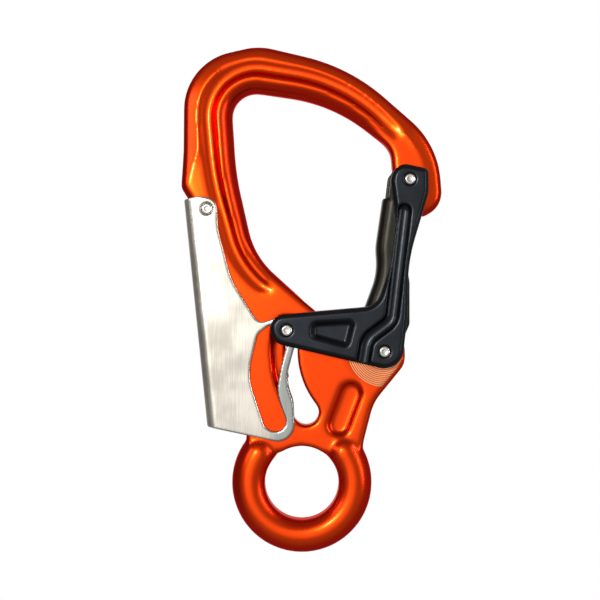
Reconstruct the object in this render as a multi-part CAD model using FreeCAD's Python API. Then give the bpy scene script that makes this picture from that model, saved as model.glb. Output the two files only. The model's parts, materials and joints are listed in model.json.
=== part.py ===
import FreeCAD, Part
import math
import os
from FreeCAD import Vector

# Double-action safety hook (snap hook) for rope and webbing, in millimetres.
# Upright: +Z runs from the eye to the crown of the hook, +X is the gate side, and
# Y is the thickness. The origin is the centre of the eye, on the mid-plane.

os.makedirs("parts", exist_ok=True)

# ---- places, as (x, z) on the mid-plane ----
gate_pivot = (26.4, 42.8)
lever_pivot = (-30.6, 88.7)
lock_reach = 32.0          # gate pivot to lock pin
lock_angle = 167.7         # direction of the lock pin from the gate pivot, degrees
nose_reach = 55.7          # gate pivot to nose pin
nose_angle = 81.6          # direction of the nose pin from the gate pivot, degrees
gate_travel = 46.0         # degrees, inwards
bar_crown = 125.9          # height of the throat's crown, where the load sits

# ---- eye ----
eye_bore = 12.0            # radius of the hole
eye_outer = 22.8           # radius of its rim
eye_half = 5.9             # radius of the rim's round section
eye_cap_left = 146.0       # where the round section ends, degrees from +X
eye_cap_right = 36.0

# ---- forging ----
web_half = 3.9             # half thickness of the flat web
flange_edge = 1.9          # width of the steep rounding along the hook's outer edge
edge_bevel = 1.0           # bevel of the web's edges
valley_slope = 1.9         # width of the slope from the flange down to the valley
crest_turn = 68.0          # how far round the inner bar runs before its crest, degrees
crest_width = 1.3          # width of its crest
wall_lean = 72.0           # slope of the wall behind the crest, degrees
loft_step = 32.0           # degrees of an arc between two sections of a loft
gate_lobe = 7.1            # radius of the lobe round the gate pivot
spot_radius = 11.8         # milled seat round the gate pivot
spot_depth = 0.15
groove_past = 5.0          # lock groove beyond the lock pin's last place, degrees
groove_floor = 1.4         # half thickness of the web under the lock grooves
gap_half = 1.9             # half width of the open gap along the grooves' inner side
gap_start = 171.0          # where the gap begins, degrees about the gate pivot
gap_wide = 203.5           # where it opens to the grooves' full width
pocket_radius = 4.0
pocket_depth = 1.7
pocket_slope = 1.4         # width of the pockets' sloping walls

# ---- sheet and plate ----
lever_gap = 0.25           # between web and lever, and between lever and cheek
lever_sheet = 1.2
lever_bend = 3.3           # outer bend radius
channel_sheet = 1.2
channel_bend = 3.4
cheek_thick = 3.6
cheek_bevel = 1.2
cheek_pocket = 1.7
cheek_groove = 1.6         # half width of the long groove

# ---- pins, bushes, springs ----
pin_radius = 1.5           # shank of each riveted pin
head_radius = 1.9          # its flared end
head_proud = 0.3
head_sink = 0.9            # depth of its counterbore
bush_wall = 1.0
running = 0.05             # radial clearance of a pin in its bush
roller_radius = 3.9
roller_play = 0.25         # between roller and groove
washer_thick = 0.4
roller_gap = 0.1           # beside a roller
washer_radius = 5.2
washer_play = 0.3          # round the gate's rivet
gate_wire = 0.45           # radius of the gate spring's wire
gate_coil = 3.7            # mean radius of its coil
gate_turns = 3
coil_steps = 8             # sections in each turn of a coil
gate_leg = 12.0            # from the coil to the leg's hooked end
lever_wire = 0.35
lever_coil = 1.9
lever_turns = 6
spring_height = 46.0       # height of the lever spring above the eye
spring_floor = -14.8       # x of the bottom of its pocket

lever_inner = web_half + lever_gap
lever_outer = lever_inner + lever_sheet
cheek_inner = lever_outer + lever_gap
cheek_outer = cheek_inner + cheek_thick
channel_inner = cheek_inner - channel_sheet
meet = 0.001               # ends closer than this are one point
least_round = 0.2          # smallest corner radius of an outline moved inwards


def polar(centre, distance, degrees):
    turn = math.radians(degrees)
    return (centre[0] + distance * math.cos(turn), centre[1] + distance * math.sin(turn))


lock_pin = polar(gate_pivot, lock_reach, lock_angle)
nose_pin = polar(gate_pivot, nose_reach, nose_angle)


def spot(point, y=0.0):
    return Vector(point[0], y, point[1])


def beside(anchor, corners):
    """Corners given as (dx, dz, radius) from an anchor point."""
    return [(anchor[0] + x, anchor[1] + z, r) for x, z, r in corners]


def segments(corners, closed):
    """Lines and tangent arcs along corners given as (x, z, corner radius)."""
    points = [Vector(x, 0, z) for x, z, r in corners]
    count = len(corners)
    pieces = []
    starts = []
    for i in range(count):
        radius = corners[i][2]
        here = points[i]
        if radius == 0 or (not closed and i in (0, count - 1)):
            starts.append((here, here, None))
            continue
        back = (points[i - 1] - here).normalize()
        ahead = (points[(i + 1) % count] - here).normalize()
        half = back.getAngle(ahead) / 2
        reach = radius / math.tan(half)
        middle = (back + ahead).normalize()
        centre = here + middle * (radius / math.sin(half))
        starts.append((here + back * reach, here + ahead * reach, (centre, centre - middle * radius)))
    cursor = starts[0][0]
    first = cursor
    for i in range(count):
        start, finish, bend = starts[i]
        if bend:
            pieces.append((cursor, finish, bend))
            cursor = finish
        if i == count - 1 and not closed:
            break
        onward = first if i == count - 1 else starts[i + 1][0]
        if (onward - cursor).Length > meet:
            pieces.append((cursor, onward, None))
            cursor = onward
    return pieces


def edges(corners, closed):
    made = []
    for first, last, bend in segments(corners, closed):
        if bend:
            made.append(Part.Arc(first, bend[1], last).toShape())
        else:
            made.append(Part.LineSegment(first, last).toShape())
    return made


def wire(corners, y=0.0):
    shape = Part.Wire(edges(corners, True))
    shape.translate(Vector(0, y, 0))
    return shape


def plate(corners, low, high):
    """A flat plate with a rounded-corner outline, from y = low to y = high."""
    return Part.Face(wire(corners, low)).extrude(Vector(0, high - low, 0))


def disc(point, radius, low, high):
    return Part.makeCylinder(radius, high - low, spot(point, low), Vector(0, 1, 0))


def ring(point, outer, inner, low, high):
    return disc(point, outer, low, high).cut(disc(point, inner, low - 1, high + 1))


def mirrored(shape):
    return shape.mirror(Vector(0, 0, 0), Vector(0, 1, 0))


def inset(corners, distance):
    """The same outline moved inwards, its corner radii kept concentric."""
    count = len(corners)
    area = sum(
        corners[i - 1][0] * corners[i][1] - corners[i][0] * corners[i - 1][1]
        for i in range(count)
    )
    side = 1 if area > 0 else -1
    moved = []
    for i in range(count):
        x, z, radius = corners[i]
        back = Vector(x - corners[i - 1][0], 0, z - corners[i - 1][1]).normalize()
        ahead = Vector(corners[(i + 1) % count][0] - x, 0, corners[(i + 1) % count][1] - z).normalize()
        inward_back = Vector(-back.z, 0, back.x) * side
        inward_ahead = Vector(-ahead.z, 0, ahead.x) * side
        step = (inward_back + inward_ahead) * (distance / (1 + inward_back.dot(inward_ahead)))
        turning = (back.x * ahead.z - back.z * ahead.x) * side
        kept = max(radius - distance, least_round) if turning > 0 else radius + distance
        kept = kept if radius else 0
        moved.append((x + step.x, z + step.z, kept))
    return moved


def sloped_pocket(corners, surface, depth, slope):
    """A cutter with sloping walls, from above the surface down to its floor."""
    rise = slope / depth
    top = wire(inset(corners, -rise), surface + 1)
    floor = wire(inset(corners, slope), surface - depth)
    return Part.makeLoft([floor, top], True, True)


def runs(corners):
    """The straight and round runs of an open path, each with its distance along the path."""
    found = []
    start = 0
    for first, last, bend in segments(corners, False):
        if bend:
            centre = bend[0]
            spoke = first - centre
            cross = spoke.x * (last - centre).z - spoke.z * (last - centre).x
            turn = math.copysign(spoke.getAngle(last - centre), cross)
            length = abs(turn) * spoke.Length
        else:
            centre, turn = None, 0
            length = (last - first).Length
        found.append((start, length, first, last, centre, turn))
        start += length
    return found


def length_of(corners):
    last = runs(corners)[-1]
    return last[0] + last[1]


def on_run(run, distance):
    """Point at a distance along a path's run, and the normal to its right."""
    start, length, first, last, centre, turn = run
    share = (distance - start) / length
    if not turn:
        ahead = (last - first).normalize()
        return first + (last - first) * share, Vector(ahead.z, 0, -ahead.x)
    spoke = first - centre
    angle = turn * share
    out = Vector(
        spoke.x * math.cos(angle) - spoke.z * math.sin(angle),
        0,
        spoke.x * math.sin(angle) + spoke.z * math.cos(angle),
    )
    point = centre + out
    return point, out.normalize() * (1 if turn > 0 else -1)


def swept(corners, start, end, section):
    """Lofts of section(distance, point, normal) along each run of a path, fused."""
    solids = []
    for run in runs(corners):
        near, far = max(start, run[0]), min(end, run[0] + run[1])
        if far - near < meet:
            continue
        turned = abs(run[5]) * (far - near) / run[1]
        steps = 1 + math.ceil(turned / math.radians(loft_step)) if turned else 1
        sections = []
        for i in range(steps + 1):
            distance = near + (far - near) * i / steps
            sections.append(section(distance, *on_run(run, distance)))
        solid = Part.makeLoft(sections, True, steps == 1)
        if solid.Volume < 0:
            solid.reverse()
        solids.append(solid)
    return solids[0].fuse(solids[1:])


def chosen_edges(shape, test):
    return [edge for edge in shape.Edges if test(edge)]


def save(name, shape):
    if shape.ShapeType == "Compound" and len(shape.Solids) == 1:
        shape = shape.Solids[0]
    if not shape.isValid():
        print("NOT VALID", name)
    print(name, len(shape.Solids), round(shape.Volume, 1))
    shape.exportStep("parts/" + name + ".step")


# ---------------------------------------------------------------- hook body
# The throat's edge runs from the nose over the crown and down the spine.
crown = bar_crown
throat = [
    (nose_pin[0] - 5.0, nose_pin[1] + 1.9, 0),
    (nose_pin[0] - 5.6, nose_pin[1] + 10.0, 7.6),
    (10.0, crown - 3.1, 52.0),
    (-23.1, crown + 1.75, 7.8),
    (-21.3, 100.0, 88.0),
    (-15.3, 73.6, 26.0),
    (5.1, 55.2, 0),
]
outer = [
    (nose_pin[0] + 4.6, nose_pin[1] - 11.8, 0),
    (nose_pin[0] + 11.4, nose_pin[1] - 8.1, 7.8),
    (nose_pin[0] + 9.7, nose_pin[1] + 12.2, 28.0),
    (15.7, crown + 9.2, 60.0),
    (-14.0, crown + 16.2, 19.5),
    (-38.3, crown + 10.7, 19.0),
    (-38.6, 107.0, 40.0),
    (lever_pivot[0] - 8.7, lever_pivot[1] + 7.1, 2.4),
    (lever_pivot[0] - 5.2, lever_pivot[1] + 1.5, 0),
]
back = [
    (lever_pivot[0] - 4.4, lever_pivot[1] - 6.0, 10.0),
    (-28.3, 62.5, 60.0),
    (-21.5, 43.0, 60.0),
    (-18.6, 27.0, 30.0),
    (-17.8, 10.0, 2.0),
]
lobe_start = (gate_lobe / math.tan(math.radians(67.5)))
right_side = [
    (19.5, 9.0, 2.0),
    (20.1, 13.6, 8.0),
    (gate_pivot[0] - 3.1, gate_pivot[1] - 16.8, 15.0),
    (gate_pivot[0] + gate_lobe, gate_pivot[1] - 4.3, 6.0),
    (gate_pivot[0] + gate_lobe, gate_pivot[1] + gate_lobe, gate_lobe),
    (gate_pivot[0] - lobe_start, gate_pivot[1] + gate_lobe, gate_lobe),
    (gate_pivot[0] - 10.0, gate_pivot[1] + 0.04, 4.0),
    (6.6, 49.5, 6.0),
]
nose_left = [(nose_pin[0] - 4.0, nose_pin[1] - 8.5, 2.0)]
# The web stops inside the round bar, which makes the throat's edge by itself.
sunk = 1.4
web_throat = [
    throat[0], throat[1],
    (throat[2][0] + 0.5 * sunk, throat[2][1] + sunk, 22.0),
    (throat[3][0] - sunk, throat[3][1] + sunk, 8.0),
    (throat[4][0] - sunk, throat[4][1], 90.0),
    (throat[5][0] - 0.5 * sunk, throat[5][1] - 0.5 * sunk, 32.0),
    throat[6],
]


# Distance along the outer edge, the flange's height at its rounded edge and at its ridge, and
# the ridge's distance from the edge.
flange = [
    (0.0, 3.4, 3.9, 5.3), (16.0, 3.4, 3.9, 5.3), (34.0, 3.1, 4.3, 5.3), (143.0, 3.1, 4.3, 5.3),
    (152.0, 3.6, 3.9, 1.9), (160.0, 3.6, 3.9, 1.9),
]
# Distance along the throat's edge, and the inner bar's radius.
bar = [
    (6.0, 2.8), (9.0, 3.7), (14.0, 4.4), (22.0, 5.1), (31.0, 5.7), (44.0, 6.2), (57.0, 6.3),
    (69.0, 6.3), (80.0, 6.1), (92.0, 5.7), (104.0, 5.2), (114.0, 4.8), (122.0, 4.4), (128.0, 3.9),
    (134.0, 2.8),
]
# Distance along the throat's edge, then the valley's distance from that edge and its floor's height.
valley = [
    (8.0, 5.4, 4.2), (12.0, 6.4, 3.0), (22.0, 7.4, 2.9), (31.0, 8.1, 2.9), (44.0, 8.7, 2.9),
    (57.0, 8.9, 2.9), (69.0, 8.9, 2.9), (80.0, 8.6, 2.9), (92.0, 8.1, 2.9), (104.0, 7.4, 2.9),
    (114.0, 6.9, 2.9), (122.0, 6.2, 3.0), (127.0, 5.4, 4.2),
]


def arc_slot(centre, radius, half, start, end, low, high):
    """A slot with round ends along an arc about a centre, angles in degrees."""
    def on(distance, degrees):
        return spot(polar(centre, distance, degrees))
    middle = (start + end) / 2
    bulge = math.degrees(half / radius)
    shapes = [
        Part.Arc(on(radius + half, start), on(radius + half, middle), on(radius + half, end)),
        Part.Arc(on(radius + half, end), on(radius, end + bulge), on(radius - half, end)),
        Part.Arc(on(radius - half, end), on(radius - half, middle), on(radius - half, start)),
        Part.Arc(on(radius - half, start), on(radius, start - bulge), on(radius + half, start)),
    ]
    outline = Part.Wire([curve.toShape() for curve in shapes])
    outline.translate(Vector(0, low, 0))
    return Part.Face(outline).extrude(Vector(0, high - low, 0))


def rivet(point, face, play=0.0):
    """A pin whose ends are swaged out into counterbores."""
    top = face + head_proud
    shank = disc(point, pin_radius + play, -top, top)
    ends = [disc(point, head_radius + play, face - head_sink, top)]
    ends.append(mirrored(ends[0]))
    return shank.fuse(ends)


def stub_rivet(point, face, depth):
    """Two short rivets, one in each cheek, that end inside at y = +-depth."""
    whole = rivet(point, face)
    middle = disc(point, head_radius + 1, -depth, depth)
    return whole.cut(middle)


def web_plate():
    web = [(nose_pin[0] + 4.2, nose_pin[1] - 10.8, 2.0)]
    web += inset(outer, 4.2)[1:-2]
    web += [
        (lever_pivot[0] - 7.3, lever_pivot[1] + 8.2, 1.2), (lever_pivot[0] - 4.6, lever_pivot[1] + 2.6, 1.0),
    ]
    web += back + right_side
    web += list(reversed(web_throat)) + nose_left
    shape = plate(web, -web_half, web_half)
    rim = chosen_edges(shape, lambda e: abs(abs(e.CenterOfMass.y) - web_half) < 0.01)
    return shape.makeChamfer(edge_bevel, rim)


def read(table, distance):
    """A table's row at a distance, on straight lines between its rows."""
    for near, far in zip(table, table[1:]):
        if distance <= far[0]:
            share = max(0, distance - near[0]) / (far[0] - near[0])
            return [low + (high - low) * share for low, high in zip(near[1:], far[1:])]
    return list(table[-1][1:])


def both_faces(curves):
    """A closed section from the curves above the mid-plane and their mirror images."""
    above = [curve.toShape() for curve in curves]
    below = [edge.mirror(Vector(0, 0, 0), Vector(0, 1, 0)) for edge in reversed(above)]
    return Part.Wire(above + below)


def flange_section(distance, point, normal):
    """The outer flange: a rounded edge, and a face that rises to its ridge."""
    edge_height, ridge_height, ridge = read(flange, distance)
    edge = min(flange_edge, 0.85 * ridge)

    def at(across, height):
        return point - normal * across + Vector(0, height, 0)
    rounded = Part.Arc(at(0, 0), at(0.2 * edge, 0.6 * edge_height), at(edge, edge_height))
    face = Part.LineSegment(at(edge, edge_height), at(ridge, ridge_height))
    inside = Part.LineSegment(at(ridge, ridge_height), at(ridge + 0.2, 0))
    return both_faces([rounded, face, inside])


def bar_section(distance, point, normal):
    """The inner bar: round on the throat side, with a narrow crest and a steep wall."""
    radius = read(bar, distance)[0]
    width = min(crest_width, 0.25 * radius)
    turn = math.radians(crest_turn)
    brow = (radius - radius * math.cos(turn) + width, radius * math.sin(turn) + 0.1 * width)
    foot = (brow[0] + brow[1] / math.tan(math.radians(wall_lean)), 0)

    def at(across, height):
        return point + normal * across + Vector(0, height, 0)

    def on_arc(angle):
        return at(radius - radius * math.cos(angle), radius * math.sin(angle))
    return both_faces([
        Part.Arc(at(0, 0), on_arc(turn / 2), on_arc(turn)),
        Part.LineSegment(on_arc(turn), at(*brow)),
        Part.LineSegment(at(*brow), at(*foot)),
    ])


def valley_section(distance, point, normal):
    """What is cut from the front face outside the inner bar."""
    middle, floor = read(valley, distance)
    slope = (web_half - floor) / valley_slope
    top = web_half + 2.0

    def at(across, height):
        return point + normal * across + Vector(0, height, 0)
    rise = (top - floor) / max(slope, 0.3)
    return Part.makePolygon([
        at(middle - 2.5, floor), at(middle, floor), at(middle + rise, top), at(middle - 2.5, top),
        at(middle - 2.5, floor),
    ])


def eye():
    """The eye's round section, ending in balls where the flat web carries on."""
    crest = eye_outer - eye_half
    sweep = 360 - (eye_cap_left - eye_cap_right)
    section = Part.Face(Part.Wire(Part.Circle(Vector(crest, 0, 0), Vector(0, 0, 1), eye_half).toShape()))
    ring_part = section.revolve(Vector(0, 0, 0), Vector(0, 1, 0), sweep)
    ring_part.rotate(Vector(0, 0, 0), Vector(0, 1, 0), -eye_cap_right)
    ends = (eye_cap_left, eye_cap_right)
    return ring_part.fuse([Part.makeSphere(eye_half, spot(polar((0, 0), crest, end))) for end in ends])


spring_half = gate_wire * (gate_turns + 1) + 0.25


def gate_spring_room():
    """The slot in the lobe that holds the gate spring, open to the gate's side."""
    reach = gate_coil + gate_wire + 0.6
    room = disc(gate_pivot, reach, -spring_half, spring_half)
    mouth = beside(gate_pivot, [
        (reach, 0, 0), (reach, gate_lobe + 3, 0), (-reach - 5, gate_lobe + 3, 0),
        (-reach - 7, 4, 0), (-reach, -2, 0),
    ])
    leg = beside(gate_pivot, [
        (-gate_coil - 0.8, 1, 0), (-gate_coil + 0.8, 1, 0),
        (-gate_coil + 0.8, -6.5, 0.6), (-gate_coil - 0.8, -6.5, 0.6),
    ])
    room = room.fuse(plate(mouth, -spring_half, spring_half))
    return room.fuse(plate(leg, -spring_half, spring_half))


def lock_grooves(reach):
    """A blind groove in each face for the lock's rollers, and the gap between them."""
    half = roller_radius + roller_play
    end = lock_angle + gate_travel + groove_past
    groove = arc_slot(gate_pivot, lock_reach, half, lock_angle, end, groove_floor, reach)
    gap_reach = lock_reach - half + gap_half
    return [
        groove, mirrored(groove),
        arc_slot(gate_pivot, gap_reach, gap_half, gap_start, end, -reach, reach),
        arc_slot(gate_pivot, lock_reach, half, gap_wide, end, -reach, reach),
    ]


def hook_body():
    body = web_plate().fuse(swept(outer, 0, length_of(outer), flange_section))
    trench = swept(throat, valley[0][0], valley[-1][0], valley_section)
    body = body.cut([trench, mirrored(trench)])
    body = body.fuse([eye(), swept(throat, bar[0][0], bar[-1][0], bar_section)])
    reach = web_half + 4
    cuts = [disc((0, 0), eye_bore, -10, 10)]
    cuts += lock_grooves(reach)
    cuts.append(arc_slot(
        gate_pivot, nose_reach, pin_radius + 0.35, nose_angle, nose_angle + 14, -reach, reach,
    ))
    upper = (gate_pivot[0] - 10.5, gate_pivot[1] - 13.6)
    lower = (gate_pivot[0] - 14.4, gate_pivot[1] - 23.9)
    lean = math.atan2(upper[1] - lower[1], upper[0] - lower[0])
    side = (math.sin(lean) * pocket_radius, -math.cos(lean) * pocket_radius)
    ahead = (math.cos(lean) * pocket_radius, math.sin(lean) * pocket_radius)
    stadium = [
        (upper[0] + ahead[0] + side[0], upper[1] + ahead[1] + side[1], pocket_radius * 0.999),
        (upper[0] + ahead[0] - side[0], upper[1] + ahead[1] - side[1], pocket_radius * 0.999),
        (lower[0] - ahead[0] - side[0], lower[1] - ahead[1] - side[1], pocket_radius * 0.999),
        (lower[0] - ahead[0] + side[0], lower[1] - ahead[1] + side[1], pocket_radius * 0.999),
    ]
    pocket = sloped_pocket(stadium, web_half, pocket_depth, pocket_slope)
    seat = ring(gate_pivot, spot_radius, 0.0, web_half - spot_depth, web_half + 3)
    cuts += [pocket, mirrored(pocket), seat, mirrored(seat)]
    bush_hole = pin_radius + running + bush_wall
    cuts += [disc(point, bush_hole, -reach, reach) for point in (gate_pivot, lever_pivot)]
    cuts.append(gate_spring_room())
    bore = Part.makeCylinder(
        lever_coil + lever_wire + 0.35, 40, Vector(spring_floor, 0, spring_height), Vector(-1, 0, 0)
    )
    cuts.append(bore)
    return body.cut(cuts)


# ---------------------------------------------------------------- palm lever
lever_outline = beside(lever_pivot, [
    (-7.6, 3.0, 0), (-2.7, 4.3, 6.1), (3.2, 3.0, 4.0), (3.7, -6.9, 21.0), (8.0, -23.2, 30.0),
]) + beside(lock_pin, [
    (-9.0, 2.0, 3.0), (-0.3, 5.3, 5.0), (5.2, 4.5, 3.7), (2.9, -4.1, 10.0), (-0.5, -16.5, 15.0),
    (2.2, -23.2, 10.0), (2.8, -37.3, 5.5),
]) + beside(lever_pivot, [(-0.1, -70.3, 0)])
window_outline = beside(lock_pin, [
    (1.9, 2.0, 1.7), (-5.8, 1.5, 1.5), (-9.4, -1.2, 3.5), (-12.6, -14.6, 19.2), (-6.3, -33.8, 4.0),
    (0.6, -31.4, 3.2), (-3.45, -20.0, 14.0), (-1.95, -12.0, 30.0), (0.4, -3.4, 0.8), (1.9, -2.6, 0.5),
])


def palm_lever():
    """A folded sheet: two faces joined by the palm web, bent along a straight edge."""
    top, foot = lever_outline[0], lever_outline[-1]
    block = plate(lever_outline, -lever_outer, lever_outer)
    fold = chosen_edges(block, lambda e: on_fold(e, top, foot, lever_outer))
    block = block.makeFillet(lever_bend, fold)
    slant = Vector(foot[0] - top[0], 0, foot[1] - top[1]).normalize()
    across = Vector(-slant.z, 0, slant.x) * lever_sheet
    first = Vector(top[0], 0, top[1]) + across - slant * 20
    last = Vector(foot[0], 0, foot[1]) + across + slant * 20
    inside = [
        (first.x, first.z, 0), (last.x, last.z, 0), (last.x + 90, last.z, 0), (first.x + 90, first.z, 0),
    ]
    core = plate(inside, -lever_inner, lever_inner)
    fold = chosen_edges(core, lambda e: on_fold(e, inside[0], inside[1], lever_inner))
    core = core.makeFillet(lever_bend - lever_sheet, fold)
    cuts = [core, plate(window_outline, -lever_outer - 1, lever_outer + 1)]
    cuts.append(rivet(lever_pivot, lever_outer, 0.02))
    return block.cut(cuts)


def on_fold(edge, top, foot, height):
    """Whether an edge lies along the line from top to foot at y = +-height."""
    middle = edge.CenterOfMass
    if abs(abs(middle.y) - height) > 0.01:
        return False
    along_x, along_z = foot[0] - top[0], foot[1] - top[1]
    away = (middle.x - top[0]) * along_z - (middle.z - top[1]) * along_x
    return abs(away) / math.hypot(along_x, along_z) < 0.01


# ---------------------------------------------------------------- gate
cheek_outline = beside(nose_pin, [(-4.6, 5.7, 4.5), (6.0, 3.4, 1.9), (6.1, -4.0, 9.8)])
cheek_outline += beside(gate_pivot, [(7.6, 28.8, 55.0), (7.5, 12.2, 60.0), (5.4, -6.8, 6.2)])
cheek_outline += beside(lock_pin, [(-4.7, -4.0, 5.2), (-5.8, 4.7, 4.6)])
cheek_outline += beside(gate_pivot, [(-2.4, 14.5, 6.4), (1.9, 27.2, 17.0)])
cheek_outline += beside(nose_pin, [(-4.3, -14.0, 0.8), (-6.1, -0.5, 4.5)])
cheek_window = beside(gate_pivot, [
    (-23.8, 9.8, 2.4), (-8.8, 10.6, 2.0), (-11.3, 0.8, 2.0), (-23.8, 4.2, 2.4),
])
cheek_channel = beside(gate_pivot, [
    (6.3, 45.0, 0), (2.2, 9.8, 5.0), (-5.6, 4.0, 6.0), (-7.8, -9.0, 0),
])


def cheek_trench():
    """The long groove: down the gate, then round the pivot boss and out below."""
    route = Part.Wire(edges(cheek_channel, False))
    start = spot((cheek_channel[0][0], cheek_channel[0][1]))
    ahead = spot((cheek_channel[1][0], cheek_channel[1][1])) - start
    level = Vector(0, cheek_outer + 0.6, 0)
    circle = Part.Wire(Part.Circle(start, ahead, cheek_groove + 0.8).toShape())
    solid = route.makePipeShell([circle], True, True)
    solid.translate(level)
    return solid.fuse(Part.makeSphere(cheek_groove + 0.8, start + level))


def front_cheek():
    shape = plate(cheek_outline, cheek_inner, cheek_outer)
    rim = chosen_edges(shape, lambda e: abs(e.CenterOfMass.y - cheek_outer) < 0.01)
    shape = shape.makeChamfer(cheek_bevel, rim)
    cuts = [sloped_pocket(cheek_window, cheek_outer, cheek_pocket, 1.8), cheek_trench()]
    cuts += [rivet(point, cheek_outer, 0.02) for point in (gate_pivot, lock_pin, nose_pin)]
    return shape.cut(cuts)


web_side = beside(gate_pivot, [(-0.1, 49.3, 0), (-2.4, 33.4, 18.0), (-1.8, 25.2, 22.0), (-6.0, 13.9, 0)])
channel_back = beside(gate_pivot, [(4.2, 13.9, 0), (4.2, 49.3, 0)])
flange_outline = beside(gate_pivot, [
    (-2.0, 14.0, 0), (-6.1, 9.0, 4.0), (-6.1, -4.6, 5.5), (5.4, -4.9, 5.0), (6.8, 5.2, 3.0),
    (8.3, 8.7, 3.0), (8.3, 22.2, 6.0), (7.2, 29.2, 20.0),
]) + beside(nose_pin, [
    (4.1, -7.9, 4.0), (4.3, 2.1, 3.0), (-5.9, 3.9, 3.0), (-7.1, -5.8, 0.5), (-4.1, -7.1, 0),
]) + beside(gate_pivot, [(1.9, 31.0, 0), (2.4, 24.0, 0)])


def web_face(width, height):
    """The folded web's block, out to a straight line behind the gate."""
    return plate(width + channel_back, -height, height)


def fold_edges(shape, height):
    limit = gate_pivot[0] + 1.3
    low, high = gate_pivot[1] + 14.0, gate_pivot[1] + 49.2

    def chosen(edge):
        middle = edge.CenterOfMass
        return abs(abs(middle.y) - height) < 0.01 and middle.x < limit and low < middle.z < high
    return chosen_edges(shape, chosen)


def gate_channel():
    """A folded sheet between the cheeks; its web closes the throat side."""
    shell = web_face(web_side, cheek_inner)
    shell = shell.makeFillet(channel_bend, fold_edges(shell, cheek_inner))
    sides = inset(web_side + channel_back, channel_sheet)
    core = web_face(sides[:len(web_side)], channel_inner)
    core = core.makeFillet(channel_bend - channel_sheet, fold_edges(core, channel_inner))
    flange = plate(flange_outline, channel_inner, cheek_inner)
    beyond = beside(gate_pivot, [(2.0, 0, 0), (40, 0, 0), (40, 80, 0), (2.0, 80, 0)])
    shell = shell.cut([core, plate(beyond, -channel_inner, channel_inner)]).fuse([flange, mirrored(flange)])
    hook = (gate_pivot[0] - gate_coil, gate_pivot[1] + gate_leg)
    cuts = [disc(hook, gate_wire + 0.1, -cheek_inner - 1, 0)]
    cuts += [disc(point, pin_radius + 0.02, -10, 10) for point in (gate_pivot, nose_pin)]
    return shell.cut(cuts)


# ---------------------------------------------------------------- springs
def coil(radius, wire_radius, pitch, turns):
    """A coil about the Z axis, starting at (radius, 0, 0), of six-sided wire."""
    sections = []
    for i in range(turns * coil_steps + 1):
        turn = 2 * math.pi * i / coil_steps
        rise = pitch * i / coil_steps
        corners = []
        for side in range(7):
            lean = math.pi * side / 3
            reach = radius + wire_radius * math.cos(lean)
            height = rise + wire_radius * math.sin(lean)
            corners.append(Vector(reach * math.cos(turn), reach * math.sin(turn), height))
        sections.append(Part.makePolygon(corners))
    return Part.makeLoft(sections, True, True)


def gate_spring():
    pitch = gate_wire * 2.1
    length = pitch * gate_turns
    body = coil(gate_coil, gate_wire, pitch, gate_turns)
    body.rotate(Vector(0, 0, 0), Vector(1, 0, 0), 90)
    body.rotate(Vector(0, 0, 0), Vector(0, 1, 0), 180)
    body.translate(spot(gate_pivot, length / 2))
    side = gate_pivot[0] - gate_coil
    box = body.BoundBox
    front, rear = box.YMin + gate_wire, box.YMax - gate_wire
    up = Part.makeCylinder(gate_wire, gate_leg, Vector(side, front, gate_pivot[1]), Vector(0, 0, 1))
    bend = Part.makeSphere(gate_wire, Vector(side, front, gate_pivot[1] + gate_leg))
    tail = Part.makeCylinder(
        gate_wire, front + cheek_inner - 0.3, Vector(side, front, gate_pivot[1] + gate_leg), Vector(0, -1, 0)
    )
    down = Part.makeCylinder(gate_wire, 5.5, Vector(side, rear, gate_pivot[1]), Vector(0, 0, -1))
    return body.fuse([up, bend, tail, down])


def lever_spring():
    top, foot = lever_outline[0], lever_outline[-1]
    slope = (foot[0] - top[0]) / (foot[1] - top[1])
    palm = top[0] + (spring_height - top[1]) * slope + lever_sheet * math.hypot(1, slope)
    length = spring_floor - palm - 2 * lever_wire - 0.1
    body = coil(lever_coil, lever_wire, length / lever_turns, lever_turns)
    body.rotate(Vector(0, 0, 0), Vector(0, 1, 0), -90)
    body.translate(Vector(spring_floor - lever_wire - 0.02, 0, spring_height))
    return body


# ---------------------------------------------------------------- pieces
save("hook_body", hook_body())
save("palm_lever", palm_lever())
cheek = front_cheek()
save("gate_cheek_rear", cheek)
save("gate_cheek_front", mirrored(cheek))
save("gate_channel", gate_channel())
save("lever_rivet", rivet(lever_pivot, lever_outer))
save("gate_rivet", rivet(gate_pivot, cheek_outer))
save("nose_pin", rivet(nose_pin, cheek_outer))
save("lock_pin", stub_rivet(lock_pin, cheek_outer, groove_floor + lever_gap))
bush = pin_radius + running
save("lever_bush", ring(lever_pivot, bush + bush_wall, bush, -web_half, web_half))
save("gate_bush", ring(gate_pivot, bush + bush_wall, bush, spot_depth - web_half, web_half - spot_depth))
roller = ring(lock_pin, roller_radius, bush, groove_floor + roller_gap, web_half - roller_gap)
save("lock_roller", Part.makeCompound([roller, mirrored(roller)]))
seat = web_half - spot_depth
washer = ring(gate_pivot, washer_radius, pin_radius + washer_play, seat, seat + washer_thick)
save("gate_washers", Part.makeCompound([washer, mirrored(washer)]))
save("gate_spring", gate_spring())
save("lever_spring", lever_spring())
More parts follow.
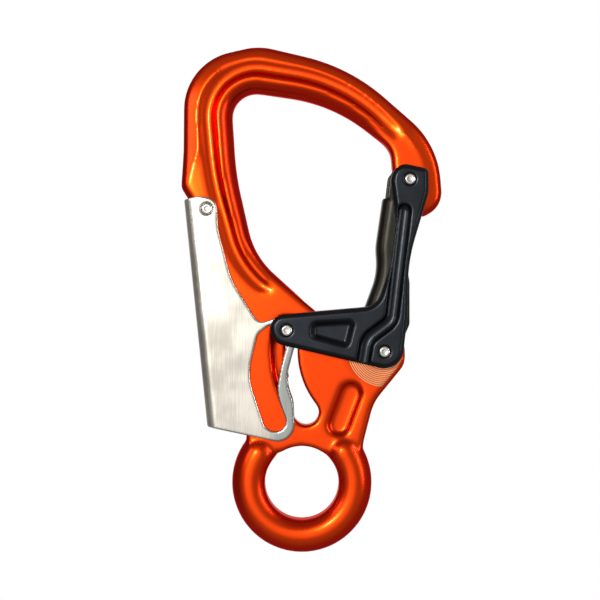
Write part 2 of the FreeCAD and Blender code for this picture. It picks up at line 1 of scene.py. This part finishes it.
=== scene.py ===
import bpy
import bmesh
import json
import math
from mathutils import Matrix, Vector


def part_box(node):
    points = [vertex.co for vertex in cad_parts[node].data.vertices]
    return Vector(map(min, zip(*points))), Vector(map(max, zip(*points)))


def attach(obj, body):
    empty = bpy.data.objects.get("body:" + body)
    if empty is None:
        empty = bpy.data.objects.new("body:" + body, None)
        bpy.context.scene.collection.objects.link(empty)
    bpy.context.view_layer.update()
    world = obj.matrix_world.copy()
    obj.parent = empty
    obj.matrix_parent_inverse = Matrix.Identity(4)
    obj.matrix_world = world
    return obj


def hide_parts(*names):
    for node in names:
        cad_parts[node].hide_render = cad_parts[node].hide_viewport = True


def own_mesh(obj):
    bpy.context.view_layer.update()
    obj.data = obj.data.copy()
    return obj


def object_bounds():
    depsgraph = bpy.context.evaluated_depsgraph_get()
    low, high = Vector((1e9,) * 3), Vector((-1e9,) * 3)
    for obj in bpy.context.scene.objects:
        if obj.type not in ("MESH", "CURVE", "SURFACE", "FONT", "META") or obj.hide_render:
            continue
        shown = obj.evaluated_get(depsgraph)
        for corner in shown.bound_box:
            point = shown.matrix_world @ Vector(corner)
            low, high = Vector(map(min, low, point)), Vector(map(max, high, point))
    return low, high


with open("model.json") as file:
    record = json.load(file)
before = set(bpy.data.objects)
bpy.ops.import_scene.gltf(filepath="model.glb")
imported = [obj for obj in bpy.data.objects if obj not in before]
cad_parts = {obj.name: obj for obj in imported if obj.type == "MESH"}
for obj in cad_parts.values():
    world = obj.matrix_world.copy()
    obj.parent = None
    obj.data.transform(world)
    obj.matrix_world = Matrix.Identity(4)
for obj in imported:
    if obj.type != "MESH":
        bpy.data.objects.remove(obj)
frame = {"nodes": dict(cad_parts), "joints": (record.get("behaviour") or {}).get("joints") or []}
cad_box = [list(corner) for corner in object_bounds()]
nodes = frame["nodes"]
joints = {joint["name"]: joint for joint in frame["joints"]}


# ---------------------------------------------------------------- studio
# A pale table and a white wall behind. A wide matt card beside the camera lights what faces
# it, the rest of the room is dim, and three softboxes put the highlights on the metal.

def colour(code):
    """Linear colour from a six-figure sRGB code."""
    channels = []
    for i in (0, 2, 4):
        value = int(code[i:i + 2], 16) / 255
        channels.append(value / 12.92 if value <= 0.04045 else ((value + 0.055) / 1.055) ** 2.4)
    return (*channels, 1.0)


def first_output(source):
    """A socket as it is, or a node's first output that its settings leave in use."""
    if isinstance(source, bpy.types.Node):
        return next(socket for socket in source.outputs if socket.enabled)
    return source


def set_inputs(tree, node, inputs):
    """Each input set to a value or a colour code, or joined to a socket, a node or several."""
    for key, value in inputs.items():
        if isinstance(value, str):
            node.inputs[key].default_value = colour(value)
        elif isinstance(value, (bpy.types.Node, bpy.types.NodeSocket, list)):
            for source in reversed(value if isinstance(value, list) else [value]):
                tree.links.new(first_output(source), node.inputs[key])
        else:
            node.inputs[key].default_value = value


def add_node(tree, kind, inputs=(), **settings):
    """A new node with its settings and its inputs."""
    node = tree.nodes.new(kind)
    for name, value in settings.items():
        setattr(node, name, value)
    set_inputs(tree, node, dict(inputs))
    return node


def seen_directly(tree):
    """1 for camera, glossy and transmission rays, which see the white background."""
    rays = add_node(tree, "ShaderNodeLightPath").outputs
    seen = rays["Is Camera Ray"]
    for other in ("Is Glossy Ray", "Is Transmission Ray"):
        seen = add_node(tree, "ShaderNodeMath", {0: seen, 1: rays[other]}, operation="MAXIMUM")
    return seen


def soft_band(tree, value, rise, fall):
    """1 between two soft edges and 0 outside. Each edge has a beginning and an end."""
    rising = add_node(tree, "ShaderNodeMapRange", {
        "Value": value, "From Min": rise[0], "From Max": rise[1]},
        interpolation_type="SMOOTHSTEP")
    falling = add_node(tree, "ShaderNodeMapRange", {
        "Value": value, "From Min": fall[0], "From Max": fall[1], "To Min": 1, "To Max": 0},
        interpolation_type="SMOOTHSTEP")
    return add_node(tree, "ShaderNodeMath", {0: falling, 1: rising}, operation="MULTIPLY")


def new_object(name, data):
    """An object in the scene that holds a mesh, a lamp or a camera."""
    thing = bpy.data.objects.new(name, data)
    bpy.context.scene.collection.objects.link(thing)
    return thing


def lamp(name, place, target, width, height, watts):
    """A rectangular softbox at a place, turned towards a target."""
    data = bpy.data.lights.new(name, "AREA")
    data.shape = "RECTANGLE"
    data.size = width
    data.size_y = height
    data.energy = watts
    light = new_object(name, data)
    light.location = place
    light.rotation_euler = (Vector(target) - Vector(place)).to_track_quat("-Z", "Y").to_euler()


table_drop = 0.08
table_reach = 3
table_level = cad_box[0][2] - table_drop
table_mesh = bpy.data.meshes.new("table")
table_mesh.from_pydata(
    [(x * table_reach, y * table_reach, table_level)
     for x, y in ((-1, -1), (1, -1), (1, 1), (-1, 1))], [], [(0, 1, 2, 3)])
table = new_object("table", table_mesh)
table_paint = bpy.data.materials.new("white_table")
table_paint.use_nodes = True
tree = table_paint.node_tree
tree.nodes.clear()
matte = add_node(tree, "ShaderNodeBsdfDiffuse", {"Color": "F4F4F4"})
glow = add_node(tree, "ShaderNodeEmission", {"Color": "FFFFFF", "Strength": 1.0})
mixed = add_node(tree, "ShaderNodeMixShader", {0: seen_directly(tree), 1: matte, 2: glow})
add_node(tree, "ShaderNodeOutputMaterial", {"Surface": mixed})
table.data.materials.append(table_paint)
table.visible_glossy = False

# The room is drawn by direction, with a soft edge to each part of it. The card is a little
# brighter on its left, and the far left of the room is the dimmest part.
card_left, card_right = (-0.66, -0.38), (0.10, 0.42)
card_foot, card_head = (-0.50, -0.26), (0.24, 0.44)
card_depth = (-0.45, -0.2)
bright_edge, dull_edge = -0.3, 0.2
wall_start, wall_full = 0.80, 0.95
far_left, near_left = -0.95, -0.75
even_light = 0.35

world = bpy.data.worlds.new("studio")
bpy.context.scene.world = world
world.use_nodes = True
tree = world.node_tree
tree.nodes.clear()
direction = add_node(tree, "ShaderNodeTexCoord").outputs["Generated"]
towards = add_node(tree, "ShaderNodeSeparateXYZ", {0: direction}).outputs
before_card = add_node(tree, "ShaderNodeMapRange", {
    "Value": towards["Y"], "From Min": card_depth[0], "From Max": card_depth[1],
    "To Min": 1, "To Max": 0}, interpolation_type="SMOOTHSTEP")
card_light = add_node(tree, "ShaderNodeMapRange", {
    "Value": towards["X"], "From Min": bright_edge, "From Max": dull_edge,
    "To Min": 1.06, "To Max": 0.92}, interpolation_type="SMOOTHSTEP")
card = soft_band(tree, towards["X"], card_left, card_right)
for part in (soft_band(tree, towards["Z"], card_foot, card_head), before_card, card_light):
    card = add_node(tree, "ShaderNodeMath", {0: card, 1: part}, operation="MULTIPLY")
wall = add_node(tree, "ShaderNodeMapRange", {
    "Value": towards["Y"], "From Min": wall_start, "From Max": wall_full},
    interpolation_type="SMOOTHSTEP")
dim_room = add_node(tree, "ShaderNodeMapRange", {
    "Value": towards["X"], "From Min": far_left, "From Max": near_left,
    "To Min": 0.2, "To Max": 0.34}, interpolation_type="SMOOTHSTEP")
seen = card
for part in (wall, dim_room, add_node(tree, "ShaderNodeLightPath").outputs["Is Camera Ray"]):
    seen = add_node(tree, "ShaderNodeMath", {0: seen, 1: part}, operation="MAXIMUM")
lit_room = add_node(tree, "ShaderNodeBackground", {"Color": "FFFFFF", "Strength": even_light})
shown_room = add_node(tree, "ShaderNodeBackground", {"Color": "FFFFFF", "Strength": seen})
mixed = add_node(tree, "ShaderNodeMixShader", {
    0: seen_directly(tree), 1: lit_room, 2: shown_room})
add_node(tree, "ShaderNodeOutputWorld", {"Surface": mixed})

middle = Vector([(cad_box[0][i] + cad_box[1][i]) / 2 for i in range(3)])
lamp("softbox", (-0.30, -0.94, 0.24), middle, width=0.12, height=0.12, watts=4.2)
lamp("side_panel", (-0.74, -0.60, 0.34), middle, width=0.3, height=0.3, watts=1.0)
lamp("strip", (0.86, -0.48, 0.24), middle, width=0.06, height=0.7, watts=2.8)

view_centre = Vector((-0.0006, 0, 0.0593))
view_distance = 0.4
view_width = 0.1957
camera_data = bpy.data.cameras.new("camera")
camera_data.angle = 2 * math.atan(view_width / 2 / view_distance)
camera_data.clip_start = 0.01
camera = new_object("camera", camera_data)
camera.location = view_centre + Vector((0, -view_distance, 0))
camera.rotation_euler = (math.pi / 2, 0, 0)
bpy.context.scene.camera = camera
bpy.context.scene.view_settings.view_transform = "Standard"


# ---------------------------------------------------------------- hook body
# One light-alloy forging: eye, flat web, and an arm with a raised flange outside, a valley,
# and a round bar inside. It is tumbled smooth, then satin anodised orange.

def copied(node):
    """A new object with a CAD node's mesh, its loose triangles joined."""
    mesh = nodes[node].data.copy()
    mesh.name = node + "_finished"
    shape = bmesh.new()
    shape.from_mesh(mesh)
    bmesh.ops.remove_doubles(shape, verts=shape.verts, dist=2e-6)
    shape.to_mesh(mesh)
    shape.free()
    return new_object(mesh.name, mesh)


def settled(piece):
    """The piece with its modifiers made part of its mesh, and shaded smooth."""
    bpy.context.view_layer.update()
    evaluated = piece.evaluated_get(bpy.context.evaluated_depsgraph_get())
    mesh = bpy.data.meshes.new_from_object(evaluated)
    piece.modifiers.clear()
    piece.data = mesh
    mesh.shade_smooth()
    return piece


def tumbled(node, grain_mm, passes):
    """A node's shape in an even mesh, its edges worn round by smoothing passes."""
    piece = copied(node)
    even = piece.modifiers.new("even", "REMESH")
    even.mode = "VOXEL"
    even.voxel_size = grain_mm / 1000
    worn = piece.modifiers.new("worn", "SMOOTH")
    worn.factor = 0.5
    worn.iterations = passes
    return settled(piece)


def placed(piece, body, slot, material, *stands_for):
    """The finished piece with its material, riding on a body in place of its CAD nodes."""
    piece.data.materials.clear()
    piece.data.materials.append(material)
    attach(piece, body)
    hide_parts(*stands_for)


def new_metal(name):
    """A metal's material, its tree, its shader and its object coordinates in metres."""
    material = bpy.data.materials.new(name)
    material.use_nodes = True
    tree = material.node_tree
    shader = tree.nodes["Principled BSDF"]
    shader.inputs["Metallic"].default_value = 1.0
    place = add_node(tree, "ShaderNodeTexCoord").outputs["Object"]
    return material, tree, shader, place


def speckle(tree, place, size_mm, detail=2.0, stretch=(1, 1, 1)):
    """Noise whose spots are about so many millimetres wide, longer where stretch is more."""
    mapped = add_node(tree, "ShaderNodeMapping", {
        "Vector": place, "Scale": tuple(1000 / size_mm / s for s in stretch)})
    return add_node(tree, "ShaderNodeTexNoise", {
        "Vector": mapped, "Scale": 1.0, "Detail": detail})


def from_axis(tree, place, centre):
    """The distance of a place from the axis that runs along Y through a centre."""
    moved = add_node(tree, "ShaderNodeMapping", {
        "Vector": place, "Location": (-centre[0], 0, -centre[2])})
    flat = add_node(tree, "ShaderNodeVectorMath", {0: moved, 1: (1, 0, 1)},
                    operation="MULTIPLY")
    return add_node(tree, "ShaderNodeVectorMath", {0: flat}, operation="LENGTH")


def turning_marks(tree, reach, spacing):
    """A height from -1 to 1 in rings, so far apart, at each distance from their axis."""
    turns = add_node(tree, "ShaderNodeMath", {0: reach, 1: 2 * math.pi / spacing},
                     operation="MULTIPLY")
    return add_node(tree, "ShaderNodeMath", {0: turns}, operation="SINE")


# Satin anodised aluminium: a metal seen through dyed oxide, with a soft wide highlight under
# a thin sealed skin. Surfaces turned away from the Y axis are painted a deeper, darker red than
# the flats: painted shade. The flats are faintly cloudy, 20 mm across. The fine grain that
# tumbling leaves is drawn 0.35 mm wide. Round the gate pivot the machined seat keeps its
# turning marks, 0.62 mm apart, whose crests are painted a pale peach: a painted highlight.
seat_radius = 0.0118
seat_rim = 0.0004
seat_mark_spacing = 0.00062
seat_mark_depth = 20e-6
grain_depth = 1.5e-6
steep, nearly_flat, flat = 0.8, 0.97, 0.995

anodised_orange, tree, shader, place = new_metal("satin_anodised_orange")
grain = speckle(tree, place, 0.35, detail=3.0)
roughness = add_node(tree, "ShaderNodeMapRange", {
    "Value": grain, "From Min": 0.3, "From Max": 0.7, "To Min": 0.28, "To Max": 0.33},
    interpolation_type="SMOOTHSTEP")
normal = add_node(tree, "ShaderNodeNewGeometry").outputs["Normal"]
facing = add_node(tree, "ShaderNodeSeparateXYZ", {0: normal}).outputs["Y"]
level = add_node(tree, "ShaderNodeMath", {0: facing}, operation="ABSOLUTE")
# Painted shade: the less a surface faces along Y, the more it takes the darker red D22706.
flat_free_of_painted_shade = add_node(tree, "ShaderNodeMapRange", {
    "Value": level, "From Min": steep, "From Max": flat}, interpolation_type="SMOOTHSTEP")
flat_dye = add_node(tree, "ShaderNodeMix", {
    "Factor": speckle(tree, place, 20), "A": "F24208", "B": "FA4A0C"}, data_type="RGBA")
dye_and_painted_slope_shade = add_node(tree, "ShaderNodeMix", {
    "Factor": flat_free_of_painted_shade, "A": "D22706", "B": flat_dye}, data_type="RGBA")
reach = from_axis(tree, place, joints["gate_swing"]["pos_m"])
turned = turning_marks(tree, reach, seat_mark_spacing)
in_seat = add_node(tree, "ShaderNodeMapRange", {
    "Value": reach, "From Min": seat_radius - seat_rim, "From Max": seat_radius,
    "To Min": 1, "To Max": 0}, interpolation_type="SMOOTHSTEP")
marks = add_node(tree, "ShaderNodeMath", {0: turned, 1: in_seat}, operation="MULTIPLY")
# Painted highlight: the crests of the seat's turning marks are painted pale, as if they caught
# the light.
ring_crest_highlight = add_node(tree, "ShaderNodeMapRange", {
    "Value": turned, "From Min": -1, "From Max": 1}, interpolation_type="SMOOTHSTEP")
seat_with_painted_ring_highlight = add_node(tree, "ShaderNodeMix", {
    "Factor": ring_crest_highlight, "A": "EE5214", "B": "FFC08A"}, data_type="RGBA")
on_floor = add_node(tree, "ShaderNodeMapRange", {
    "Value": level, "From Min": nearly_flat, "From Max": flat},
    interpolation_type="SMOOTHSTEP")
cut = add_node(tree, "ShaderNodeMath", {0: in_seat, 1: on_floor}, operation="MULTIPLY")
finish = add_node(tree, "ShaderNodeMix", {
    "Factor": cut, "A": dye_and_painted_slope_shade, "B": seat_with_painted_ring_highlight}, data_type="RGBA")
fine = add_node(tree, "ShaderNodeBump", {"Height": grain, "Distance": grain_depth})
ridged = add_node(tree, "ShaderNodeBump", {
    "Height": marks, "Distance": seat_mark_depth, "Normal": fine})
set_inputs(tree, shader, {
    "Base Color": finish, "Roughness": roughness, "Specular Tint": "FF9058",
    "Coat Weight": 0.1, "Coat Roughness": 0.1, "Normal": ridged})

placed(tumbled("hook_body", grain_mm=0.46, passes=26), "hook", "anodised_orange",
       anodised_orange, "hook_body")


# ---------------------------------------------------------------- palm lever
# One stainless sheet, folded along the palm into two faces with a long window each. The faces
# are brushed lengthways, and the blanked edges are broken with a fine bevel.

# Brushed stainless steel: pale and slightly warm, with brush lines about 0.12 mm wide and
# 9 mm long that run down the lever, drawn 0.2 mm wide, and a few dull patches. The narrow
# strip beyond the window is painted a darker, cooler grey: painted shade, as if it lay in
# shadow.
strip_start, strip_full = -0.0115, -0.0078
brush_depth = 6e-6

brushed, tree, shader, place = new_metal("brushed_stainless_steel")
brush = speckle(tree, place, 0.2, stretch=(1, 1, 45))
patch = speckle(tree, place, 9)
brush_in_patch = add_node(tree, "ShaderNodeMath", {0: brush, 1: patch}, operation="MULTIPLY")
shine = add_node(tree, "ShaderNodeMapRange", {
    "Value": brush_in_patch, "From Min": 0.1, "From Max": 0.4},
    interpolation_type="SMOOTHSTEP")
fresh = add_node(tree, "ShaderNodeMix", {
    "Factor": shine, "A": "C6BFB2", "B": "E0D9CC"}, data_type="RGBA")
# Painted shade: the strip beyond the window is painted a darker, cooler grey.
painted_shade_grey = add_node(tree, "ShaderNodeMix", {
    "Factor": brush, "A": "8E908C", "B": "B4B5B0"}, data_type="RGBA")
across = add_node(tree, "ShaderNodeSeparateXYZ", {0: place}).outputs["X"]
strip_painted_shade_mask = add_node(tree, "ShaderNodeMapRange", {
    "Value": across, "From Min": strip_start, "From Max": strip_full},
    interpolation_type="SMOOTHSTEP")
finish = add_node(tree, "ShaderNodeMix", {
    "Factor": strip_painted_shade_mask, "A": fresh, "B": painted_shade_grey}, data_type="RGBA")
roughness = add_node(tree, "ShaderNodeMapRange", {
    "Value": patch, "From Min": 0.3, "From Max": 0.7, "To Min": 0.22, "To Max": 0.28},
    interpolation_type="SMOOTHSTEP")
lines = add_node(tree, "ShaderNodeBump", {"Height": brush, "Distance": brush_depth})
set_inputs(tree, shader, {"Base Color": finish, "Roughness": roughness, "Normal": lines})

placed(tumbled("palm_lever", grain_mm=0.3, passes=6), "lever", "brushed_stainless", brushed,
       "palm_lever")


# ---------------------------------------------------------------- gate
# Two machined alloy cheeks, anodised black and tumbled, with a pocket and a long groove, and
# between them a folded sheet that closes the throat side. Three swaged pins hold them.

# Black anodised aluminium: nearly black with a cool soft sheen, and the same tumbled grain
# as the hook's, a little deeper.
cheek_grain_depth = 4e-6

black, tree, shader, place = new_metal("black_anodised_aluminium")
finish = add_node(tree, "ShaderNodeMix", {
    "Factor": speckle(tree, place, 6), "A": "25272A", "B": "33363A"}, data_type="RGBA")
grain = speckle(tree, place, 0.35, detail=3.0)
roughness = add_node(tree, "ShaderNodeMapRange", {
    "Value": grain, "From Min": 0.3, "From Max": 0.7, "To Min": 0.28, "To Max": 0.36},
    interpolation_type="SMOOTHSTEP")
fine = add_node(tree, "ShaderNodeBump", {"Height": grain, "Distance": cheek_grain_depth})
set_inputs(tree, shader, {"Base Color": finish, "Roughness": roughness, "Normal": fine})

for side in ("front", "rear"):
    placed(tumbled("gate_cheek_" + side, grain_mm=0.28, passes=5), "gate", "anodised_black",
           black, "gate_cheek_" + side)

# Black oxide on steel sheet: a duller, browner black, with the sheet's rolled grain drawn
# 0.5 mm wide.
rolled_depth = 8e-6

oxide, tree, shader, place = new_metal("black_oxide_steel")
rolled = speckle(tree, place, 0.5, stretch=(1, 1, 8))
finish = add_node(tree, "ShaderNodeMix", {
    "Factor": rolled, "A": "252420", "B": "393730"}, data_type="RGBA")
lines = add_node(tree, "ShaderNodeBump", {"Height": rolled, "Distance": rolled_depth})
set_inputs(tree, shader, {"Base Color": finish, "Roughness": 0.38, "Normal": lines})

placed(tumbled("gate_channel", grain_mm=0.3, passes=3), "gate", "blackened_steel", oxide,
       "gate_channel")


# ---------------------------------------------------------------- bearings
# Bronze bushes in the hook for the gate's and the lever's rivets, stainless washers beside
# the gate's bush, and steel rollers on the lock pins. All of them are turned from bar.

# Turned metal: bare and bright, with tool marks 0.25 mm apart round each piece's own axis,
# which catch the light in rings.
mark_spacing = 0.00025
mark_depth = 10e-6
gate_axis = joints["gate_swing"]["pos_m"]
lever_axis = joints["lever_squeeze"]["pos_m"]
lock_axis = joints["roller_spin"]["pos_m"]

for node, metal, base, roughness, axis in (
        ("gate_bush", "turned_bronze_gate", "B08A4A", 0.3, gate_axis),
        ("lever_bush", "turned_bronze_lever", "B08A4A", 0.3, lever_axis),
        ("gate_washers", "turned_stainless", "BDB8AE", 0.28, gate_axis),
        ("lock_roller", "turned_steel", "A9A9A9", 0.28, lock_axis)):
    material, tree, shader, place = new_metal(metal)
    marks = turning_marks(tree, from_axis(tree, place, axis), mark_spacing)
    ridged = add_node(tree, "ShaderNodeBump", {"Height": marks, "Distance": mark_depth})
    set_inputs(tree, shader, {"Base Color": base, "Roughness": roughness, "Normal": ridged})
    nodes[node].data.materials.clear()
    nodes[node].data.materials.append(material)


# ---------------------------------------------------------------- swaged pins
# Steel pins through the lever and the cheeks. Each end is pressed out into its counterbore
# by a round punch, which leaves a shallow dish in a bright head whose rim rolls down.

def tree_input(tree, name, kind, value=None):
    """The identifier of a new named input of a geometry tree."""
    socket = tree.interface.new_socket(name=name, in_out="INPUT", socket_type=kind)
    if value is not None:
        socket.default_value = value
    return socket.identifier


def new_geometry_tree(name, sizes):
    """A geometry tree with a named length for each size, and its group input and output."""
    tree = bpy.data.node_groups.new(name, "GeometryNodeTree")
    for way in ("INPUT", "OUTPUT"):
        tree.interface.new_socket(name="Geometry", in_out=way,
                                  socket_type="NodeSocketGeometry")
    names = {size: tree_input(tree, size, "NodeSocketFloat", value)
             for size, value in sizes.items()}
    names["Material"] = tree_input(tree, "Material", "NodeSocketMaterial")
    given = add_node(tree, "NodeGroupInput").outputs
    end = add_node(tree, "NodeGroupOutput")
    return tree, names, given, end


def finish_tree(tree, geometry, material, end):
    """Real faces with their material at the tree's output."""
    real = add_node(tree, "GeometryNodeRealizeInstances", {"Geometry": geometry})
    painted = add_node(tree, "GeometryNodeSetMaterial", {
        "Geometry": real, "Material": material})
    set_inputs(tree, end, {0: painted})


def shaped(name, points, lines, tree, names, material, **sizes):
    """A piece made by a geometry tree from points and lines, as a plain mesh."""
    mesh = bpy.data.meshes.new(name)
    mesh.from_pydata(points, lines, [])
    piece = new_object(name, mesh)
    maker = piece.modifiers.new(name, "NODES")
    maker.node_group = tree
    maker[names["Material"]] = material
    for size, value in sizes.items():
        maker[names[size.replace("_", " ").title()]] = value
    return settled(piece)


# A pin is made as one half that stands on the hook's middle plane, a shank and a head, and
# is then turned to the front and to the rear. The edges of the dish and of the rim are given
# as shares of the head's radius.
dish_flat, dish_edge = 0.25, 0.62
rim_start, rim_end = 0.76, 1.0

pin_tree, pin_names, given, end = new_geometry_tree("swaged_pin", {
    "Half Length": 0.0128, "Inner End": 0.0, "Head Radius": 0.0018, "Head Depth": 0.0012,
    "Shank Radius": 0.0015, "Dish Depth": 0.00012, "Rim Drop": 0.0004})
blank = add_node(pin_tree, "GeometryNodeMeshCylinder", {
    "Vertices": 40, "Side Segments": 2, "Fill Segments": 8, "Radius": given["Head Radius"],
    "Depth": given["Head Depth"]}, fill_type="NGON")
at = add_node(pin_tree, "GeometryNodeInputPosition")
flat_at = add_node(pin_tree, "ShaderNodeVectorMath", {0: at, 1: (1, 1, 0)},
                   operation="MULTIPLY")
reach = add_node(pin_tree, "ShaderNodeVectorMath", {0: flat_at}, operation="LENGTH")
share = add_node(pin_tree, "ShaderNodeMath", {0: reach, 1: given["Head Radius"]},
                 operation="DIVIDE")
in_dish = add_node(pin_tree, "ShaderNodeMapRange", {
    "Value": share, "From Min": dish_flat, "From Max": dish_edge, "To Min": 1, "To Max": 0},
    interpolation_type="SMOOTHSTEP")
dish = add_node(pin_tree, "ShaderNodeMath", {0: in_dish, 1: given["Dish Depth"]},
                operation="MULTIPLY")
on_rim = add_node(pin_tree, "ShaderNodeMapRange", {
    "Value": share, "From Min": rim_start, "From Max": rim_end},
    interpolation_type="SMOOTHSTEP")
rim = add_node(pin_tree, "ShaderNodeMath", {0: on_rim, 1: given["Rim Drop"]},
               operation="MULTIPLY")
sunk = add_node(pin_tree, "ShaderNodeMath", {0: dish, 1: rim}, operation="ADD")
drop = add_node(pin_tree, "ShaderNodeMath", {0: sunk, 1: -1.0}, operation="MULTIPLY")
height = add_node(pin_tree, "ShaderNodeSeparateXYZ", {0: at}).outputs["Z"]
outer_face = add_node(pin_tree, "FunctionNodeCompare", {0: height, 1: 0.0},
                      data_type="FLOAT", operation="GREATER_THAN")
head = add_node(pin_tree, "GeometryNodeSetPosition", {
    "Geometry": blank, "Selection": outer_face,
    "Offset": add_node(pin_tree, "ShaderNodeCombineXYZ", {"Z": drop})})
half_head = add_node(pin_tree, "ShaderNodeMath", {0: given["Head Depth"], 1: 0.5},
                     operation="MULTIPLY")
head_level = add_node(pin_tree, "ShaderNodeMath", {0: given["Half Length"], 1: half_head},
                      operation="SUBTRACT")
shank_length = add_node(pin_tree, "ShaderNodeMath", {0: head_level, 1: given["Inner End"]},
                        operation="SUBTRACT")
shank_ends = add_node(pin_tree, "ShaderNodeMath", {0: head_level, 1: given["Inner End"]},
                      operation="ADD")
shank_middle = add_node(pin_tree, "ShaderNodeMath", {0: shank_ends, 1: 0.5},
                        operation="MULTIPLY")
shank = add_node(pin_tree, "GeometryNodeMeshCylinder", {
    "Vertices": 32, "Radius": given["Shank Radius"], "Depth": shank_length})
lifted = [add_node(pin_tree, "GeometryNodeTransform", {
    "Geometry": part, "Translation": add_node(pin_tree, "ShaderNodeCombineXYZ", {"Z": rise})})
    for part, rise in ((head, head_level), (shank, shank_middle))]
half_pin = add_node(pin_tree, "GeometryNodeJoinGeometry", {0: lifted})
halves = [add_node(pin_tree, "GeometryNodeTransform", {
    "Geometry": half_pin, "Rotation": (turn, 0, 0)}) for turn in (math.pi / 2, -math.pi / 2)]
whole_pin = add_node(pin_tree, "GeometryNodeJoinGeometry", {0: halves})
pins = add_node(pin_tree, "GeometryNodeInstanceOnPoints", {
    "Points": given["Geometry"], "Instance": whole_pin})
finish_tree(pin_tree, pins, given["Material"], end)

# Plain steel, polished by the punch: bright, with a fine uneven grain drawn 0.25 mm wide.
dent_depth = 20e-6

pin_steel, tree, shader, place = new_metal("swaged_steel")
dents = speckle(tree, place, 0.25, detail=3.0)
finish = add_node(tree, "ShaderNodeMix", {
    "Factor": dents, "A": "BFBAB1", "B": "EEEAE3"}, data_type="RGBA")
dented = add_node(tree, "ShaderNodeBump", {"Height": dents, "Distance": dent_depth})
set_inputs(tree, shader, {"Base Color": finish, "Roughness": 0.24, "Normal": dented})

# The lock pins are two stubs, one in each cheek, which end just above the floors of the
# web's grooves.
stub_end = 0.00165
for node, body, inner_end in (("lever_rivet", "lever", 0.0), ("gate_rivet", "gate", 0.0),
                              ("nose_pin", "gate", 0.0), ("lock_pin", "gate", stub_end)):
    low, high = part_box(node)
    centre = ((low[0] + high[0]) / 2, 0, (low[2] + high[2]) / 2)
    pin = shaped(node + "_finished", [centre], [], pin_tree, pin_names, pin_steel,
                 half_length=high[1], inner_end=inner_end)
    placed(pin, body, "rivet_steel", pin_steel, node)


# ---------------------------------------------------------------- springs
# Two springs of drawn stainless wire: a torsion spring in the lobe that closes the gate, and
# a small compression spring between the spine and the palm that returns the lever.

# The wire follows a coil, which is left out where its turns are 0, and legs along lines.
spring_tree, spring_names, given, end = new_geometry_tree("wound_spring", {
    "Coil Radius": 0.0037, "Turns": 3.0, "Coil Length": 0.0028, "Wire Radius": 0.00045,
    "Start X": 0.0, "Start Y": 0.0, "Start Z": 0.0, "Turn X": 0.0, "Turn Y": 0.0})
spiral = add_node(spring_tree, "GeometryNodeCurveSpiral", {
    "Resolution": 32, "Rotations": given["Turns"], "Start Radius": given["Coil Radius"],
    "End Radius": given["Coil Radius"], "Height": given["Coil Length"], "Reverse": True})
where = add_node(spring_tree, "ShaderNodeCombineXYZ", {
    "X": given["Start X"], "Y": given["Start Y"], "Z": given["Start Z"]})
lean = add_node(spring_tree, "ShaderNodeCombineXYZ", {
    "X": given["Turn X"], "Y": given["Turn Y"]})
standing = add_node(spring_tree, "GeometryNodeTransform", {
    "Geometry": spiral, "Translation": where, "Rotation": lean})
has_coil = add_node(spring_tree, "FunctionNodeCompare", {0: given["Turns"], 1: 0.0},
                    data_type="FLOAT", operation="GREATER_THAN")
coiled = add_node(spring_tree, "GeometryNodeSwitch", {"Switch": has_coil, "True": standing},
                  input_type="GEOMETRY")
legs = add_node(spring_tree, "GeometryNodeMeshToCurve", {0: given["Geometry"]})
path = add_node(spring_tree, "GeometryNodeJoinGeometry", {0: [coiled, legs]})
section = add_node(spring_tree, "GeometryNodeCurvePrimitiveCircle", {
    "Resolution": 12, "Radius": given["Wire Radius"]})
drawn = add_node(spring_tree, "GeometryNodeCurveToMesh", {
    "Curve": path, "Profile Curve": section, "Fill Caps": True})
finish_tree(spring_tree, drawn, given["Material"], end)

# Drawn stainless wire: smooth and bright, with faint die lines 0.1 mm apart along it.
die_line_depth = 4e-6

wire_steel, tree, shader, place = new_metal("drawn_stainless_wire")
lines = add_node(tree, "ShaderNodeBump", {
    "Height": speckle(tree, place, 0.1), "Distance": die_line_depth})
set_inputs(tree, shader, {"Base Color": "BDBBB6", "Roughness": 0.24, "Normal": lines})

low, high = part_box("gate_spring")
wire = 0.00045
coil = 0.0037
coil_half = 0.0014175
side = gate_axis[0] - coil
gate_spring = shaped("gate_spring_finished",
                     [(side, coil_half, gate_axis[2]), (side, coil_half, low[2])], [(0, 1)],
                     spring_tree, spring_names, wire_steel, coil_radius=coil, turns=3.0,
                     coil_length=2 * coil_half, wire_radius=wire, start_x=gate_axis[0],
                     start_y=coil_half, start_z=gate_axis[2], turn_x=math.pi / 2,
                     turn_y=math.pi)
placed(gate_spring, "hook", "spring_steel", wire_steel, "gate_spring")

# The spring's long leg turns with the gate, and its hooked end pushes the gate shut.
leg_top = high[2] - wire
leg_points = [(side, -coil_half, gate_axis[2]), (side, -coil_half, leg_top),
              (side, low[1], leg_top)]
gate_leg = shaped("gate_spring_leg", leg_points, [(0, 1), (1, 2)], spring_tree, spring_names,
                  wire_steel, turns=0.0, wire_radius=wire)
placed(gate_leg, "gate", "spring_steel", wire_steel)

# The lever's spring lies along X.
low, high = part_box("lever_spring")
wire = 0.00035
spring_level = (low[2] + high[2]) / 2
lever_spring = shaped("lever_spring_finished", [(high[0], 0, low[2] + wire)], [],
                      spring_tree, spring_names, wire_steel,
                      coil_radius=(high[2] - low[2]) / 2 - wire, turns=6.0,
                      coil_length=high[0] - low[0] - 2 * wire, wire_radius=wire,
                      start_x=high[0] - wire, start_z=spring_level, turn_y=-math.pi / 2)
placed(lever_spring, "hook", "spring_steel", wire_steel, "lever_spring")
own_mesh(lever_spring)
